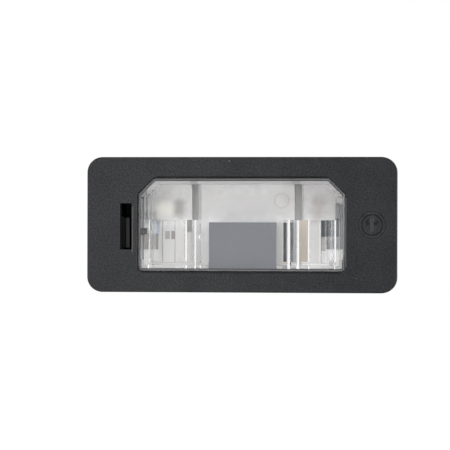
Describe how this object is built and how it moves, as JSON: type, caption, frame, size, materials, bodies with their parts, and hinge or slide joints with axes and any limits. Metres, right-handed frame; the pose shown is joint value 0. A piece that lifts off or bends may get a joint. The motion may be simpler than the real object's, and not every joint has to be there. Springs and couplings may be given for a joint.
{
  "type": "number plate lamp",
  "caption": "Clip-in number plate lamp for a car: black face moulding, clear ribbed lens over a white light tray, and a rear housing with latch, hook and plug socket.",
  "frame": {"origin": "centre of the plane on the back of the face moulding that seats on the body panel", "axes": "+X along the lamp towards the mould mark, +Z towards the cut corners of the window, +Y into the car body; the light side looks along -Y"},
  "size_m": [0.0828, 0.025, 0.036],
  "materials": {
    "face_plastic": "black moulded plastic with a fine spark-eroded grain",
    "clear_lens": "clear polished lens plastic",
    "sealant": "milky grey sealant",
    "tray_plastic": "satin white moulded plastic",
    "shade_plastic": "smooth mid-grey moulded plastic",
    "board_laminate": "white solder mask",
    "led_package": "white package with pale yellow gel",
    "resistor_body": "black coated ceramic with tinned ends",
    "chip_body": "black moulded package with tinned legs",
    "capacitor_body": "tan ceramic with tinned ends",
    "pin_metal": "tinned brass",
    "housing_plastic": "black moulded plastic"
  },
  "bodies": {
    "root": {"front_frame": "face_plastic", "lens": "clear_lens", "lens_bead": "sealant", "light_tray": "tray_plastic", "shade_block": "shade_plastic", "circuit_board": "board_laminate", "led_left": "led_package", "led_right": "led_package", "load_resistor_1": "resistor_body", "load_resistor_2": "resistor_body", "load_resistor_3": "resistor_body", "load_resistor_4": "resistor_body", "led_driver": "chip_body", "polarity_diode": "chip_body", "surge_diode": "chip_body", "supply_capacitor": "capacitor_body", "driver_capacitor": "capacitor_body", "terminal_pin_plus": "pin_metal", "terminal_pin_earth": "pin_metal", "rear_housing": "housing_plastic"}
  },
  "joints": []
}
